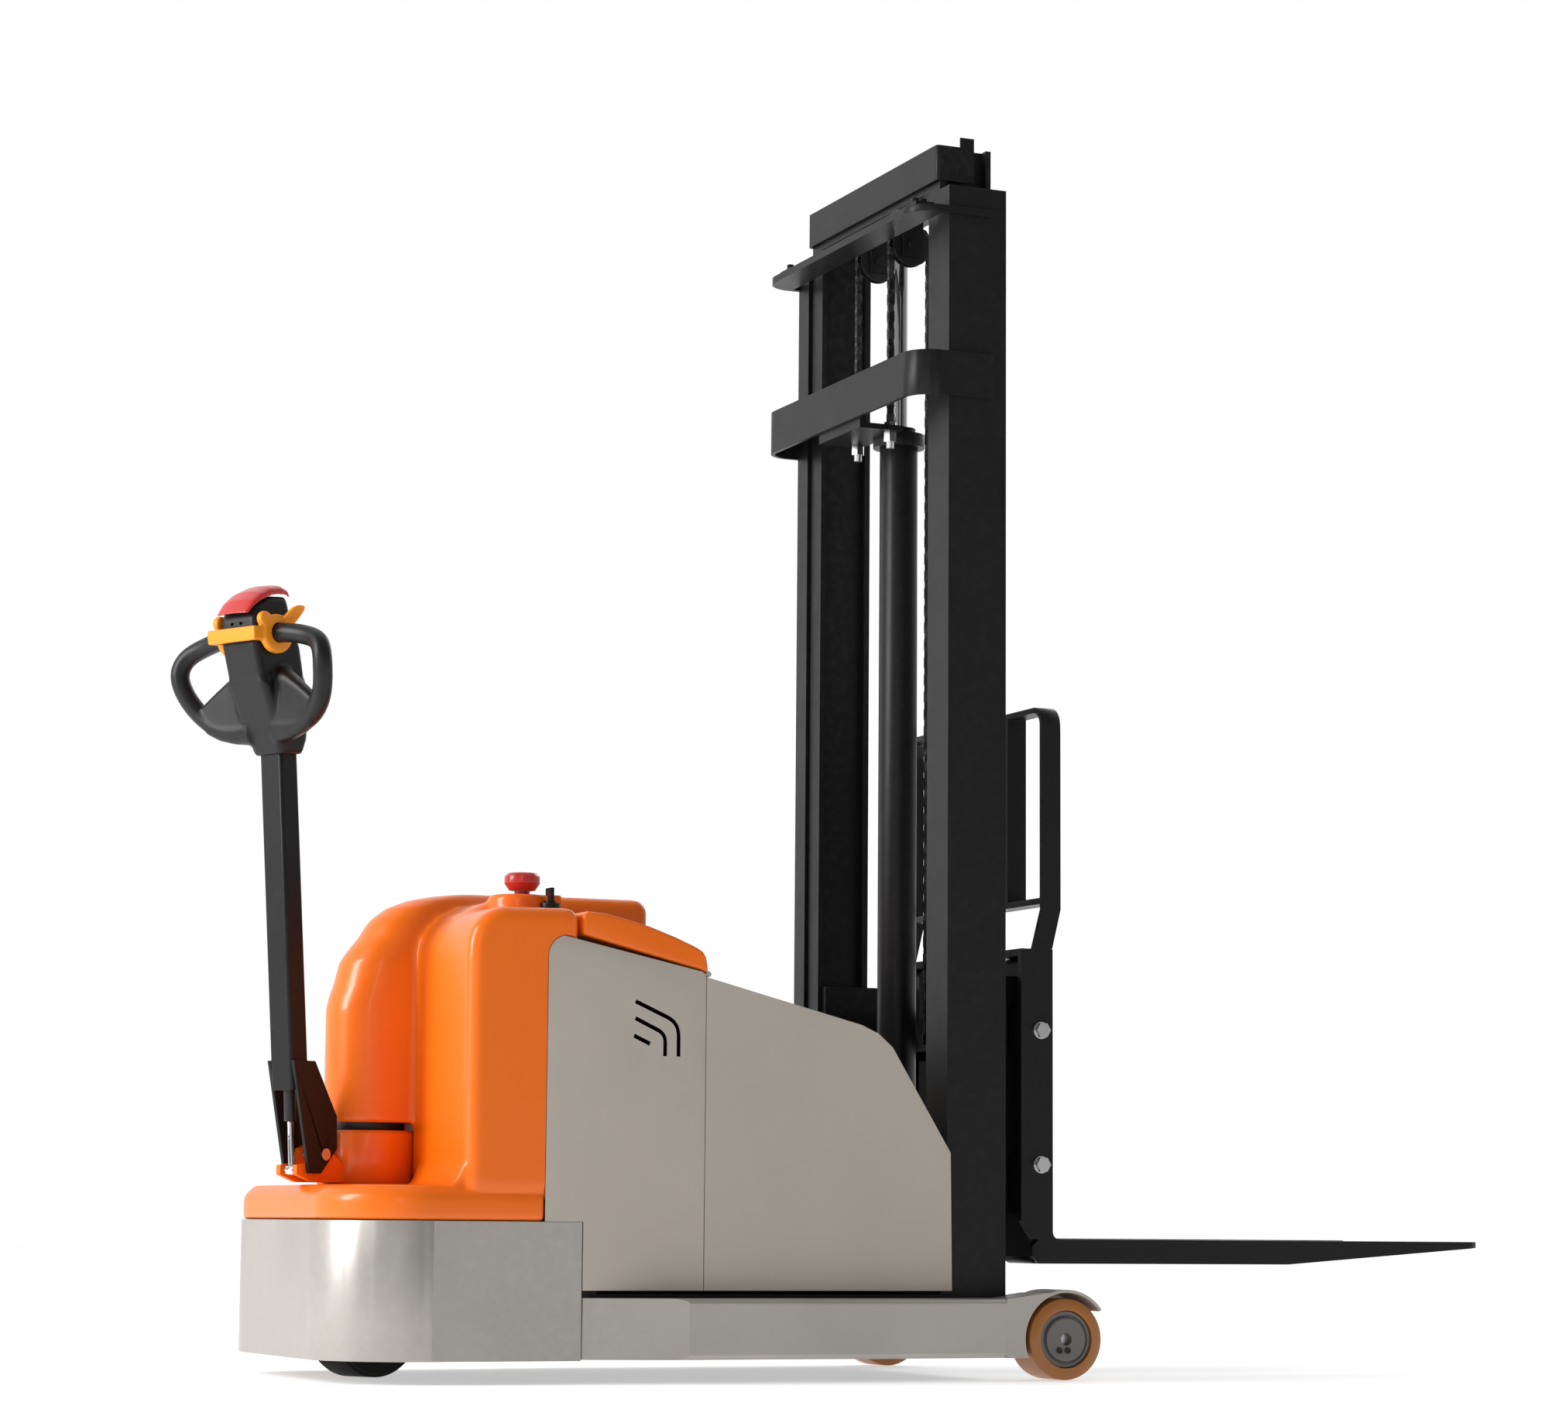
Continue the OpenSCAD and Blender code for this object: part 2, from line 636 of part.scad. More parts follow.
module backrest() color(black) at_mast() {
    translate([206, 0, 0]) rotate([90, 0, 90]) {
        linear_extrude(37) difference() {
            round_rect([-fork_half, 760], [fork_half, backrest_top], 35);
            round_rect([10 - fork_half, 700], [fork_half - 10, backrest_top - 10], 25);
            translate([-400, 700]) square([800, 115]);
        }
        linear_extrude(37) for (y = [-151, -5, 141]) translate([y, 825]) square([10, backrest_top - 830]);
        linear_extrude(37) translate([5 - fork_half, 824]) square([2 * fork_half - 10, 11]);
    }
    both() plate(fork_half - 10, fork_half) polygon([[206, 815], [243, 815], [226, shank_top], [188, shank_top]]);
}

module fork(s) color(black) at_mast() mirror([0, s < 0 ? 1 : 0, 0]) {
    heel = fork_top - 42;
    difference() {
        plate(fork_half - fork_w, fork_half - 13) round_rect([187, heel], [227, shank_top - 12], 12);
        for (p = bolt_places) y_pin(p.x, p[1], 16.2, fork_half - 33, fork_half);
    }
    intersection() {
        plate(fork_half - fork_w, fork_half) {
            polygon([[199, fork_top], [fork_tip, fork_top], [fork_tip, fork_top - 10],
                     [700, heel], [199, heel], [187, heel + 12], [187, fork_top - 12]]);
            difference() {
                translate([227, fork_top - 1]) square([13, 14]);
                translate([240, fork_top + 13]) circle(13);
            }
        }
        translate([0, 0, heel - 1]) linear_extrude(80) {
            translate([180, fork_half - fork_w]) square([fork_tip - 180 - 30, fork_w]);
            translate([fork_tip - 31, fork_half - fork_w + 30]) square([31, fork_w - 60]);
            for (y = [fork_half - fork_w + 30, fork_half - 30]) translate([fork_tip - 30, y]) circle(30);
        }
    }
}

module left_fork() fork(1);
module right_fork() fork(-1);

// ---- Drive and turret ----------------------------------------------------------------

module turret() color(orange) {
    turret_frame() {
        translate([0, 0, 244]) cylinder(r = 88 - fit, h = skirt_top - 196);
        translate([0, 0, skirt_top + 48]) cylinder(r = 84, h = 13);
        translate([0, 0, 323]) cylinder(r = drum_r, h = 84);
        translate([0, 0, 407]) cylinder(r1 = drum_r, r2 = drum_r - 5, h = 5);
        // gearbox leg beside the drive wheel
        box([-45, drive_w / 2 + 6, 60], [45, drive_w / 2 + 44, 246]);
        y_pin(0, drive_d / 2, 40, drive_w / 2 + 1, drive_w / 2 + 10);
        y_pin(0, drive_d / 2, 30 - 2 * fit, -drive_w / 2, drive_w / 2 + 6);
        // bracket with the tiller's pivot and the lugs of the gas spring
        difference() {
            plate(-24.5, 24.5) polygon([[-70, 324], [-150, 324], [-188, 336], [-188, 352], [-152, 356],
                                        [-146, 380], [-131, 386], [-116, 380], [-84, 356], [-70, 356]]);
            box([-200, -15, 310], [-112, 15, 400]);
            y_pin(-pivot_back, pivot_z, 16, -40, 40);
        }
    }
}

module drive_motor() color([0.2, 0.2, 0.22]) turret_frame() {
    translate([0, 0, 412]) cylinder(d = 122, h = 190);
    for (i = [0 : 9]) translate([0, 0, 430 + 16 * i]) cylinder(d = 130, h = 6);
    translate([0, 0, 602]) cylinder(d = 96, h = 50);
}

module drive_tyre() color(black) turret_frame()
    translate([0, -drive_w / 2, drive_d / 2]) rotate([-90, 0, 0]) difference() {
        union() {
            cylinder(d = drive_d - 10, h = drive_w);
            translate([0, 0, 5]) cylinder(d = drive_d, h = drive_w - 10);
        }
        translate([0, 0, -1]) cylinder(d = 160, h = 100);
    }

module drive_hub() color(zinc) turret_frame()
    translate([0, -drive_w / 2, drive_d / 2]) rotate([-90, 0, 0]) difference() {
        cylinder(d = 160, h = drive_w);
        translate([0, 0, -1]) cylinder(d = 30, h = 100);
        for (a = [0 : 60 : 300]) rotate(a) translate([52, 0, -1]) cylinder(d = 14, h = 12);
    }

// ---- Tiller --------------------------------------------------------------------------

module tiller_yoke() color(black) tiller_frame() both()
    plate(arm_w / 2, arm_w / 2 + 7) difference() {
        polygon([[-64, 160], [-14, 156], [31, 62], [29, 8], [-11, -31], [-38, -29]]);
        circle(d = 16);
    }

module pivot_pin() color(zinc) tiller_frame() {
    y_pin(0, 0, 16, 24.7, arm_w / 2 + 7);
    y_pin(0, 0, 16, -arm_w / 2 - 7, -24.7);
    y_pin(0, 0, 16 - 2 * fit, -24.8, 24.8);
    both() y_pin(0, 0, 20, arm_w / 2 + 7, arm_w / 2 + 10);
}

module tiller_arm() color(black) tiller_frame() translate([-arm_back, 0, 110]) difference() {
    linear_extrude(neck_s - 110) difference() {
        round_rect([-arm_d / 2, -arm_w / 2], [arm_d / 2, arm_w / 2], 5);
        round_rect([3 - arm_d / 2, 3 - arm_w / 2], [arm_d / 2 - 3, arm_w / 2 - 3], 3);
    }
}

// Gas spring that holds the tiller up: place of its upper end, its lean and its length
spring_top = [-45, 193.3];
spring_lean = 0.74;
spring_length = 216;

module spring_frame() tiller_frame() translate([spring_top.x, 0, spring_top[1]])
    rotate([0, spring_lean, 0]) children();

module gas_spring_tube() color([0.12, 0.12, 0.13]) spring_frame() {
    difference() {
        translate([0, 0, -135]) cylinder(d = 20, h = 125);
        translate([0, 0, -136]) cylinder(d = 10 + 2 * fit, h = 110);
    }
    y_pin(0, 0, 20, -8, 8);
    translate([0, 0, -12]) cylinder(d = 12, h = 12);
}

module gas_spring_rod() color(zinc) spring_frame() {
    translate([0, 0, -spring_length]) cylinder(d = 10, h = spring_length - 110);
    y_pin(0, -spring_length, 16, -10, 10);
}

// Slices of the head: height above the pivot, offset in front of the arm, half depth, half width
head_slices = [[neck_s, 0, 26, 34], [695, 0, 34, 40], [848, -34, 49, 42], [900, -42, 42, 42],
               [928, -28, 26, 36]];

module head_slice(c) translate([c.y, 0, c.x]) linear_extrude(1)
    round_rect([-c.z, -c[3]], [c.z, c[3]], 12, $fn = 32);

module tiller_head() color(black) tiller_frame() translate([-arm_back, 0, 0]) difference() {
    for (i = [1 : len(head_slices) - 1]) hull() {
        head_slice(head_slices[i - 1]);
        head_slice(head_slices[i]);
    }
    // wells of the lift and lower buttons
    for (y = [-16, 16]) translate([button_x, y, 850]) rotate([0, 90, 0]) cylinder(d = 20.6, h = 20);
}

// Centre line of a handle loop: distance in front of the arm, to the side, and above the pivot
loop_points = [[-28, 30, 714], [-33, 70, 710], [-33, 98, 716], [-36, 128, 731], [-43, 150, 752],
               [-51, 161, 775], [-58, loop_half - 18, 800], [-58, loop_half - 18, 822], [-52, 158, 842],
               [-44, 135, 853], [-43, 104, 862], [wing_x, 80, wing_s], [wing_x, 36, wing_s]];

module handle_loops() color(black) tiller_frame() translate([-arm_back, 0, 0]) both()
    for (i = [1 : len(loop_points) - 1]) hull() {
        translate(loop_points[i - 1]) sphere(d = loop_d, $fn = 12);
        translate(loop_points[i]) sphere(d = loop_d, $fn = 12);
    }

// Butterfly that turns round the upper roots of the handle loops
module throttle_wings() color(yellow) tiller_frame() translate([-arm_back + wing_x, 0, wing_s]) both() {
    difference() {
        union() {
            y_pin(0, 0, 66, 44, 57);
            translate([0, 57, 33]) rotate([75, 0, 0]) linear_extrude(14, center = true)
                round_rect([-17, -16], [17, 44], 9);
        }
        y_pin(0, 0, loop_d + 1.2, 30, 120);
    }
    // band behind the head
    box([-54, -1, -12], [-44, 57, 12]);
    box([-44, 44, -12], [-20, 57, 12]);
}

// Red pad on the top of the head that reverses the truck when it meets the operator
module belly_button() color(red) tiller_frame() translate([-arm_back, 0, 0]) hull() {
    head_slice([938, -40, 42, 38]);
    head_slice([953, -26, 22, 26]);
}

// Round push buttons on the front of the head
module head_button(y) tiller_frame() translate([-arm_back + button_x + 3, y, 850])
    rotate([0, 90, 0]) {
    cylinder(d = 20, h = 7);
    translate([0, 0, 7]) cylinder(d1 = 20, d2 = 16, h = 2);
}

module lift_button() color(yellow) head_button(-16);
module lower_button() color(yellow) head_button(16);

chassis_frame();
rear_skirt();
base_cover();
hood();
side_housing();
battery_lid();
lid_hinge_pin();
left_door();
right_door();
front_cowl();
battery();
pump_unit();
controller();
left_leg();
right_leg();
fenders();
load_axles();
left_tyre();
right_tyre();
left_hub();
right_hub();
switch_bases();
stop_button();
key();
left_outer_upright();
right_outer_upright();
mast_ties();
lift_cylinder();
chain_anchors();
left_inner_upright();
right_inner_upright();
inner_crossbars();
lift_rod();
chain_pulleys();
rear_chains();
front_chains();
mast_rollers();
inner_rollers();
upper_carriage_rollers();
lower_carriage_rollers();
carriage_frame();
backrest();
left_fork();
right_fork();
fork_bolts();
turret();
drive_motor();
drive_tyre();
drive_hub();
tiller_yoke();
pivot_pin();
tiller_arm();
gas_spring_tube();
gas_spring_rod();
tiller_head();
handle_loops();
throttle_wings();
belly_button();
lift_button();
lower_button();
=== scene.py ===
"""Looks of the walkie stacker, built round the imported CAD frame. Metres, +X along the forks, +Z up."""

import json
import math
import bmesh
import bpy
from mathutils import Matrix, Vector


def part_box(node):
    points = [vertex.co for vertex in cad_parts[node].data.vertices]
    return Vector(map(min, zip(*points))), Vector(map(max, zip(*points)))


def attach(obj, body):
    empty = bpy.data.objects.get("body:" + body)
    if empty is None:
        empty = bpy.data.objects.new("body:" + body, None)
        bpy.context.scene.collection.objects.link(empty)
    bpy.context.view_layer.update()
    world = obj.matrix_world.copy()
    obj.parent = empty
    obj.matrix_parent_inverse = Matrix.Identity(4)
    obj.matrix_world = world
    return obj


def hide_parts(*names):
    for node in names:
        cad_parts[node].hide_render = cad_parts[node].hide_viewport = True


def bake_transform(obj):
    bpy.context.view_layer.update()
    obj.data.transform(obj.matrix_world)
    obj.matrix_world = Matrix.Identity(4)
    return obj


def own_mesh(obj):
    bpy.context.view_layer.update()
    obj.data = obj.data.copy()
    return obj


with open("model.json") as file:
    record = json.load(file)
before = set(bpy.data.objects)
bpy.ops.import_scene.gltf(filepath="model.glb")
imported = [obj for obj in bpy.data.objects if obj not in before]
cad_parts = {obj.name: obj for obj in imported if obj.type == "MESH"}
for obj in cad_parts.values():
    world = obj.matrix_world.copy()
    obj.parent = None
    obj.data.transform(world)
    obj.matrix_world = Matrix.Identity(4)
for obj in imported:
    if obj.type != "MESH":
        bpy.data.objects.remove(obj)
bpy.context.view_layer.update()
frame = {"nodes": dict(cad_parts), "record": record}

MM = 0.001
MAST_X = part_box("left_outer_upright")[0][0]


def at(x, y, z):
    """A place given in millimetres from the mast's rear face, in the row's frame."""
    return Vector((MAST_X + x * MM, y * MM, z * MM))


# ---- Camera, floor and light --------------------------------------------------------------


def add_camera():
    """A long lens low beside the machine, turned, pitched and rolled about its own axes."""
    yaw, pitch, roll = (math.radians(a) for a in (23.588, 7.437, 0.449))
    ahead = Vector((math.sin(yaw) * math.cos(pitch), math.cos(yaw) * math.cos(pitch), math.sin(pitch)))
    right = Vector((math.cos(yaw), -math.sin(yaw), 0))
    up = right.cross(ahead)
    level_right = math.cos(roll) * right + math.sin(roll) * up
    level_up = math.cos(roll) * up - math.sin(roll) * right
    data = bpy.data.cameras.new("camera")
    data.sensor_width = 36
    data.lens = 91.56
    data.clip_end = 100
    camera = bpy.data.objects.new("camera", data)
    turn = Matrix((level_right, level_up, -ahead)).transposed().to_4x4()
    camera.matrix_world = Matrix.Translation(at(-3017, -6524, 259.3)) @ turn
    bpy.context.scene.collection.objects.link(camera)
    bpy.context.scene.camera = camera


def add_light(name, place, target, size, power):
    """A rectangular lamp that faces its target."""
    data = bpy.data.lights.new(name, "AREA")
    data.shape = "RECTANGLE"
    data.size, data.size_y = size
    data.energy = power
    lamp = bpy.data.objects.new(name, data)
    lamp.location = place
    lamp.rotation_euler = (Vector(target) - Vector(place)).to_track_quat("-Z", "Y").to_euler()
    bpy.context.scene.collection.objects.link(lamp)


def add_studio():
    scene = bpy.context.scene
    scene.view_settings.view_transform = "Standard"
    world = bpy.data.worlds.new("studio")
    world.use_nodes = True
    tree = world.node_tree
    # white backdrop on the far side, a darker room on the near side
    place = tree.nodes.new("ShaderNodeTexCoord")
    dot = tree.nodes.new("ShaderNodeVectorMath")
    dot.operation = "DOT_PRODUCT"
    dot.inputs[1].default_value = (0.4, 0.916, 0.0)
    level = tree.nodes.new("ShaderNodeMapRange")
    for key, value in (("From Min", -0.1), ("From Max", 0.45), ("To Min", 0.26), ("To Max", 1.0)):
        level.inputs[key].default_value = value
    tree.links.new(place.outputs["Generated"], dot.inputs[0])
    tree.links.new(dot.outputs["Value"], level.inputs["Value"])
    tree.nodes["Background"].inputs[0].default_value = (1, 1, 1, 1)
    tree.links.new(level.outputs["Result"], tree.nodes["Background"].inputs[1])
    scene.world = world
    mesh = bpy.data.meshes.new("floor")
    half = 30
    mesh.from_pydata([(-half, -half, -0.001), (half, -half, -0.001), (half, half, -0.001), (-half, half, -0.001)],
                     [], [(0, 1, 2, 3)])
    floor = bpy.data.objects.new("floor", mesh)
    scene.collection.objects.link(floor)
    material = bpy.data.materials.new("floor")
    material.use_nodes = True
    shader = material.node_tree.nodes["Principled BSDF"]
    shader.inputs["Base Color"].default_value = (0.80, 0.80, 0.80, 1)
    shader.inputs["Roughness"].default_value = 0.7
    shader.inputs["Emission Color"].default_value = (1, 1, 1, 1)
    shader.inputs["Emission Strength"].default_value = 0.5
    mesh.materials.append(material)
    add_light("key", (-6.0, 0.2, 3.0), (-0.6, 0, 0.8), (1.6, 3.5), 330)
    add_light("strip", (-3.2, -5.5, 2.4), (0, 0, 1.1), (0.4, 3.0), 14)
    add_light("rim", (4.0, 3.5, 3.5), (0, 0, 1.0), (2.0, 2.0), 40)


# ---- Materials ----------------------------------------------------------------------------


def new_material(name):
    """A material with its node tree and its shader."""
    material = bpy.data.materials.new(name)
    material.use_nodes = True
    return material, material.node_tree, material.node_tree.nodes["Principled BSDF"]


def noise(tree, scale, detail=3.0, stretch=(1, 1, 1)):
    """A noise texture laid in the object's own coordinates."""
    place = tree.nodes.new("ShaderNodeTexCoord")
    mapping = tree.nodes.new("ShaderNodeMapping")
    mapping.inputs["Scale"].default_value = stretch
    texture = tree.nodes.new("ShaderNodeTexNoise")
    texture.inputs["Scale"].default_value = scale
    texture.inputs["Detail"].default_value = detail
    tree.links.new(place.outputs["Object"], mapping.inputs["Vector"])
    tree.links.new(mapping.outputs["Vector"], texture.inputs["Vector"])
    return texture.outputs["Fac"]


def ramp(tree, factor, low, high, start=0.3, end=0.7):
    """A colour between low and high, by the factor."""
    node = tree.nodes.new("ShaderNodeValToRGB")
    node.color_ramp.elements[0].position = start
    node.color_ramp.elements[1].position = end
    node.color_ramp.elements[0].color = (*low, 1)
    node.color_ramp.elements[1].color = (*high, 1)
    tree.links.new(factor, node.inputs["Fac"])
    return node.outputs["Color"]


def shade(colour, factor):
    """The colour made darker or lighter."""
    return tuple(min(1.0, c * factor) for c in colour)


def finish_of(name, colour, rough, metal=0.0, coat=0.0, coat_rough=0.1, grain=0.0, grain_scale=900,
              blotch=0.06, specular=0.5, wear=None, stretch=(1, 1, 1)):
    """A coat of paint, plating or moulded plastic: blotchy colour, uneven gloss, fine grain, worn edges."""
    material, tree, shader = new_material(name)
    shader.inputs["Metallic"].default_value = metal
    shader.inputs["Specular IOR Level"].default_value = specular
    shader.inputs["Coat Weight"].default_value = coat
    shader.inputs["Coat Roughness"].default_value = coat_rough
    tone = ramp(tree, noise(tree, 4.0, 5.0, stretch), shade(colour, 1 - blotch), shade(colour, 1 + blotch))
    if wear:
        geometry = tree.nodes.new("ShaderNodeNewGeometry")
        edge = tree.nodes.new("ShaderNodeMapRange")
        edge.inputs["From Min"].default_value = 0.53
        edge.inputs["From Max"].default_value = 0.60
        tree.links.new(geometry.outputs["Pointiness"], edge.inputs["Value"])
        mask = tree.nodes.new("ShaderNodeMath")
        mask.operation = "MULTIPLY"
        tree.links.new(edge.outputs["Result"], mask.inputs[0])
        tree.links.new(ramp(tree, noise(tree, 60.0, 6.0), (0, 0, 0), (0.5, 0.5, 0.5), 0.45, 0.7), mask.inputs[1])
        mix = tree.nodes.new("ShaderNodeMix")
        mix.data_type = "RGBA"
        tree.links.new(mask.outputs["Value"], mix.inputs["Factor"])
        tree.links.new(tone, mix.inputs[6])
        mix.inputs[7].default_value = (*wear, 1)
        tone = mix.outputs[2]
    tree.links.new(tone, shader.inputs["Base Color"])
    gloss = tree.nodes.new("ShaderNodeMapRange")
    gloss.inputs["To Min"].default_value = rough * 0.85
    gloss.inputs["To Max"].default_value = min(1.0, rough * 1.2)
    tree.links.new(noise(tree, 14.0, 4.0, stretch), gloss.inputs["Value"])
    tree.links.new(gloss.outputs["Result"], shader.inputs["Roughness"])
    if grain:
        bump = tree.nodes.new("ShaderNodeBump")
        bump.inputs["Strength"].default_value = grain
        bump.inputs["Distance"].default_value = 0.0004
        tree.links.new(noise(tree, grain_scale, 2.0, stretch), bump.inputs["Height"])
        tree.links.new(bump.outputs["Normal"], shader.inputs["Normal"])
    return material


BRUSHED = (1, 1, 0.04)
MATERIALS = {
    "orange_body": finish_of("orange_body", (0.93, 0.165, 0.002), 0.36, coat=0.25, coat_rough=0.12,
                             grain=0.12, grain_scale=350, blotch=0.03, specular=0.35),
    "taupe_panel": finish_of("taupe_panel", (0.46, 0.415, 0.36), 0.55, grain=0.25, grain_scale=700, blotch=0.04,
                             specular=0.25),
    "silver_paint": finish_of("silver_paint", (0.44, 0.415, 0.385), 0.40, metal=0.6, grain=0.2, grain_scale=800,
                              wear=(0.6, 0.6, 0.6)),
    "black_frame": finish_of("black_frame", (0.009, 0.009, 0.010), 0.38, grain=0.3, grain_scale=600,
                             specular=0.22, wear=(0.03, 0.03, 0.03)),
    "black_plastic": finish_of("black_plastic", (0.008, 0.008, 0.009), 0.38, grain=0.35, grain_scale=1500,
                               specular=0.3),
    "zinc_steel": finish_of("zinc_steel", (0.55, 0.55, 0.57), 0.3, metal=1.0, grain=0.1, stretch=BRUSHED),
    "chrome_rod": finish_of("chrome_rod", (0.78, 0.78, 0.80), 0.09, metal=1.0, blotch=0.02),
    "chain_steel": finish_of("chain_steel", (0.03, 0.028, 0.027), 0.38, metal=0.7, grain=0.3, wear=(0.2, 0.2, 0.2)),
    "machine_black": finish_of("machine_black", (0.02, 0.02, 0.022), 0.4, grain=0.3, specular=0.3),
    "battery_case": finish_of("battery_case", (0.035, 0.035, 0.04), 0.55, grain=0.4),
    "load_tyre": finish_of("load_tyre", (0.36, 0.13, 0.022), 0.40, coat=0.2, grain=0.3, grain_scale=300, blotch=0.12),
    "hub_grey": finish_of("hub_grey", (0.16, 0.15, 0.14), 0.5, metal=0.3, grain=0.4),
    "drive_rubber": finish_of("drive_rubber", (0.012, 0.011, 0.010), 0.75, grain=0.6, grain_scale=400, blotch=0.2,
                              specular=0.2),
    "red_button": finish_of("red_button", (0.55, 0.02, 0.016), 0.30, coat=0.3, blotch=0.04),
    "yellow_control": finish_of("yellow_control", (0.90, 0.30, 0.008), 0.36, coat=0.2, grain=0.2, blotch=0.04,
                                specular=0.3),
}


def paint_frame():
    """Gives each CAD node its slot's material, and small round edges."""
    for part in frame["record"]["subparts"]:
        node = frame["nodes"][part["node"]]
        node.data.materials.clear()
        node.data.materials.append(MATERIALS[part["material_slot"]])
        soften(node)


def soften(obj, width=1.2, angle=32):
    """Joins split edges, bevels the sharp ones and shades the rest smooth."""
    weld = obj.modifiers.new("weld", "WELD")
    weld.merge_threshold = 0.00002
    bevel = obj.modifiers.new("bevel", "BEVEL")
    bevel.width = width * MM
    bevel.segments = 2
    bevel.limit_method = "ANGLE"
    bevel.angle_limit = math.radians(angle)
    bevel.use_clamp_overlap = True
    bevel.harden_normals = True


# ---- Mesh helpers -------------------------------------------------------------------------


def new_object(name, bm, material, smooth=True):
    """An object from a bmesh, with its faces turned outwards."""
    mesh = bpy.data.meshes.new(name)
    bmesh.ops.recalc_face_normals(bm, faces=bm.faces)
    bm.to_mesh(mesh)
    bm.free()
    obj = bpy.data.objects.new(name, mesh)
    bpy.context.scene.collection.objects.link(obj)
    mesh.materials.append(MATERIALS[material])
    for polygon in mesh.polygons:
        polygon.use_smooth = smooth
    return obj


def place_mesh(obj, matrix):
    """Moves the vertices, so that the object itself stays at the origin."""
    obj.data.transform(matrix)
    return obj


def apply_modifiers(obj):
    """Makes the result of the modifiers the object's own mesh."""
    graph = bpy.context.evaluated_depsgraph_get()
    mesh = bpy.data.meshes.new_from_object(obj.evaluated_get(graph))
    obj.modifiers.clear()
    obj.data = mesh
    return obj


def round_edges(obj, width, segments, angle):
    """Bevels the edges that are sharper than the angle, in degrees. A width of 0 leaves them."""
    if width:
        bevel = obj.modifiers.new("bevel", "BEVEL")
        bevel.width = width * MM
        bevel.segments = segments
        bevel.limit_method = "ANGLE"
        bevel.angle_limit = math.radians(angle)
        apply_modifiers(obj)
    return obj


def finish_piece(obj, body, slot, *nodes):
    """Hands a piece to its body and hides the CAD nodes that it stands for; the slot argument is not used."""
    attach(obj, body)
    if nodes:
        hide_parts(*nodes)


def rings(bm, loops):
    """Skins a list of equally long vertex rings and closes both ends."""
    rows = [[bm.verts.new(p) for p in loop] for loop in loops]
    count = len(rows[0])
    for low, high in zip(rows, rows[1:]):
        for i in range(count):
            j = (i + 1) % count
            bm.faces.new((low[i], low[j], high[j], high[i]))
    bm.faces.new(rows[0][::-1])
    bm.faces.new(rows[-1])


def lathe(name, profile, material, centre, steps):
    """Turns a closed outline of (radius, place along Y), in millimetres, about an axis along Y."""
    bm = bmesh.new()
    loops = []
    for k in range(steps):
        a = 2 * math.pi * k / steps
        loops.append([Vector((r * math.cos(a), s, r * math.sin(a))) * MM for r, s in profile])
    rows = [[bm.verts.new(p) for p in loop] for loop in loops]
    for k in range(steps):
        near, far = rows[k], rows[(k + 1) % steps]
        for i in range(len(profile)):
            j = (i + 1) % len(profile)
            bm.faces.new((near[i], near[j], far[j], far[i]))
    obj = new_object(name, bm, material)
    return place_mesh(obj, Matrix.Translation(centre))


def arc(cx, cy, r, start, end, steps):
    """Points on an arc, angles in degrees."""
    return [(cx + r * math.cos(math.radians(start + (end - start) * k / steps)),
             cy + r * math.sin(math.radians(start + (end - start) * k / steps))) for k in range(steps + 1)]


def circle(cx, cy, r, steps):
    """Points round a circle, without the last that would repeat the first."""
    return arc(cx, cy, r, 0, 360, steps)[:-1]


def prism(name, outline, y0, y1, material, bevel=0.0, segments=4):
    """Extrudes an outline of (x, z), millimetres from the mast, between two places along Y."""
    bm = bmesh.new()
    rings(bm, [[at(x, y, z) for x, z in outline] for y in (y0, y1)])
    return round_edges(new_object(name, bm, material), bevel, segments, 50)


def plan_outline(front, half, rear, radius, steps=12):
    """Plan of the body's rear end, round at its two rear corners."""
    points = [(front, -half)]
    points += arc(rear + radius, -half + radius, radius, 270, 180, steps)
    points += arc(rear + radius, half - radius, radius, 180, 90, steps)
    points.append((front, half))
    return points


def stack(name, levels, material):
    """Skins plan outlines laid at rising heights: levels of (z, outline)."""
    bm = bmesh.new()
    rings(bm, [[at(x, y, z) for x, y in outline] for z, outline in levels])
    return new_object(name, bm, material)


def tube(name, points, radius, material, steps=20, smooth_path=True):
    """A round tube along points in metres."""
    curve = bpy.data.curves.new(name, "CURVE")
    curve.dimensions = "3D"
    spline = curve.splines.new("NURBS" if smooth_path else "POLY")
    spline.points.add(len(points) - 1)
    for node, point in zip(spline.points, points):
        node.co = (*point, 1)
    if smooth_path:
        spline.use_endpoint_u = True
        spline.order_u = 4
        spline.resolution_u = 8
    curve.bevel_depth = radius * MM
    curve.bevel_resolution = max(2, steps // 4)
    curve.use_fill_caps = True
    holder = bpy.data.objects.new(name, curve)
    bpy.context.scene.collection.objects.link(holder)
    mesh = bpy.data.meshes.new_from_object(holder.evaluated_get(bpy.context.evaluated_depsgraph_get()))
    bpy.data.objects.remove(holder)
    obj = bpy.data.objects.new(name, mesh)
    bpy.context.scene.collection.objects.link(obj)
    mesh.materials.clear()
    mesh.materials.append(MATERIALS[material])
    for polygon in mesh.polygons:
        polygon.use_smooth = True
    return obj


def merge(name, objects):
    """Joins several objects' meshes into the first."""
    bm = bmesh.new()
    for obj in objects:
        bm.from_mesh(obj.data)
    first = objects[0]
    bm.to_mesh(first.data)
    bm.free()
    for obj in objects[1:]:
        bpy.data.objects.remove(obj)
    first.name = name
    for polygon in first.data.polygons:
        polygon.use_smooth = True
    return first


def mould(obj, voxel, passes):
    """Fuses overlapping solids into one skin with soft fillets, as a moulding has."""
    remesh = obj.modifiers.new("remesh", "REMESH")
    remesh.mode = "VOXEL"
    remesh.voxel_size = voxel * MM
    smooth = obj.modifiers.new("smooth", "SMOOTH")
    smooth.factor = 0.5
    smooth.iterations = passes
    apply_modifiers(obj)
    for polygon in obj.data.polygons:
        polygon.use_smooth = True
    return obj


